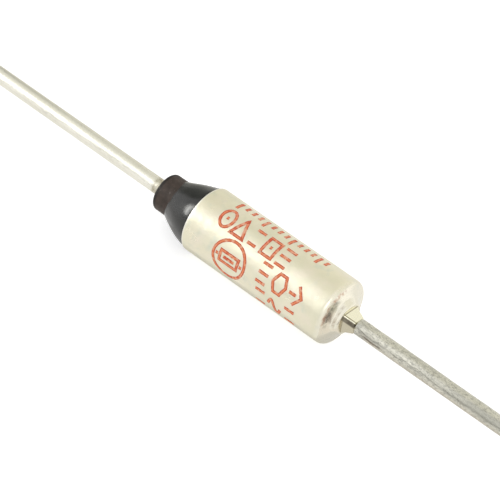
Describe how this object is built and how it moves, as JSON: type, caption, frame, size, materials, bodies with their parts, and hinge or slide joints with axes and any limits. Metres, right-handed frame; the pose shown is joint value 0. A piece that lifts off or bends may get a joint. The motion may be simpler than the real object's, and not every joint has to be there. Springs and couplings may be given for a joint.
{
  "type": "thermal fuse",
  "caption": "Axial thermal fuse: cylindrical metal case with a staked lead at one end and a ceramic bushing sealed by black resin at the other.",
  "frame": {"origin": "on the axis, at the middle of the case's straight cylindrical wall", "axes": "+X along the axis, from the resin-sealed end to the staked end; Y and Z across it"},
  "size_m": [0.0649, 0.0042, 0.0042],
  "materials": {
    "case_metal": "silver plated brass, satin",
    "tinned_wire": "tinned copper wire, drawn",
    "bushing_ceramic": "dark brown, matt",
    "black_resin": "cast epoxy, gloss",
    "pellet_wax": "pressed organic pellet",
    "disc_metal": "stamped",
    "spring_steel": "drawn wire",
    "contact_silver": "silver plated, stamped"
  },
  "bodies": {
    "root": {"case": "case_metal", "case_lead": "tinned_wire", "insulated_lead": "tinned_wire", "bushing": "bushing_ceramic", "sealing_resin": "black_resin", "pellet": "pellet_wax", "pellet_disc": "disc_metal", "main_spring": "spring_steel", "spring_disc": "disc_metal", "star_contact": "contact_silver", "trip_spring": "spring_steel"}
  },
  "joints": []
}
